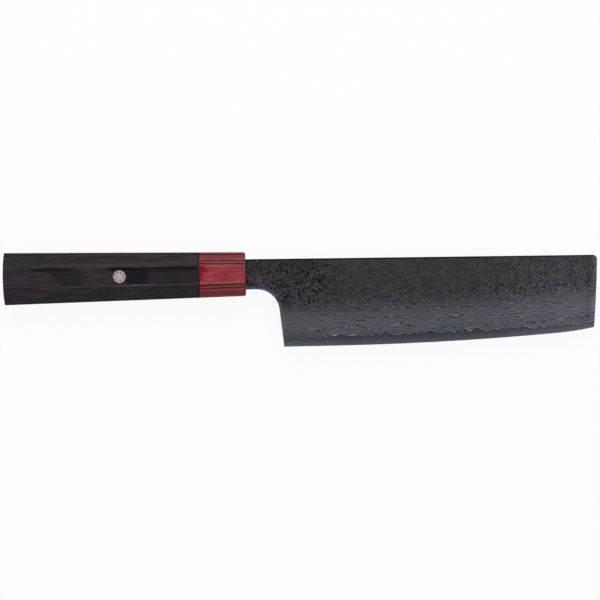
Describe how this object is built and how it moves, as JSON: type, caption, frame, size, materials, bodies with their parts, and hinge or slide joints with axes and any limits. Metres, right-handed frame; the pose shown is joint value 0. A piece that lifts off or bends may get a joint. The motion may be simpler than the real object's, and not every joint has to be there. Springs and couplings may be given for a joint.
{
  "type": "nakiri knife",
  "caption": "Straight-edged vegetable knife: clad steel blade with a wavy core line and an octagonal handle of pressed veneers with a contrasting collar and mosaic pin.",
  "frame": {"origin": "middle of the knife's box in X and Y, at its lowest point, with the knife lying on its side", "axes": "+X along the handle's axis from butt to blade tip, +Y from cutting edge to spine, +Z out of the blade face that the picture shows"},
  "size_m": [0.304, 0.0508, 0.023],
  "materials": {
    "core_steel": "fine ground",
    "cladding": "folded layers, etched dark",
    "resin": "cured epoxy",
    "red_veneer": "dyed, resin-pressed, satin",
    "dark_veneer": "dyed, resin-pressed, satin",
    "black_veneer": "dyed, resin-pressed, satin",
    "charcoal_veneer": "dyed, resin-pressed, satin",
    "pin_brass": "ground flush",
    "pin_filler": "metal-filled epoxy, ground flush",
    "pin_rod": "dark rod, ground flush",
    "pin_steel": "ground flush"
  },
  "bodies": {
    "root": {"core_steel": "core_steel", "cladding_near_side": "cladding", "cladding_far_side": "cladding", "tang_bedding_resin": "resin", "collar_red_veneers": "red_veneer", "collar_dark_veneers": "dark_veneer", "grip_black_veneers": "black_veneer", "grip_charcoal_veneers": "charcoal_veneer", "pin_tube": "pin_brass", "pin_filler": "pin_filler", "pin_ring_rods": "pin_rod", "pin_centre_rod": "pin_steel"}
  },
  "joints": []
}
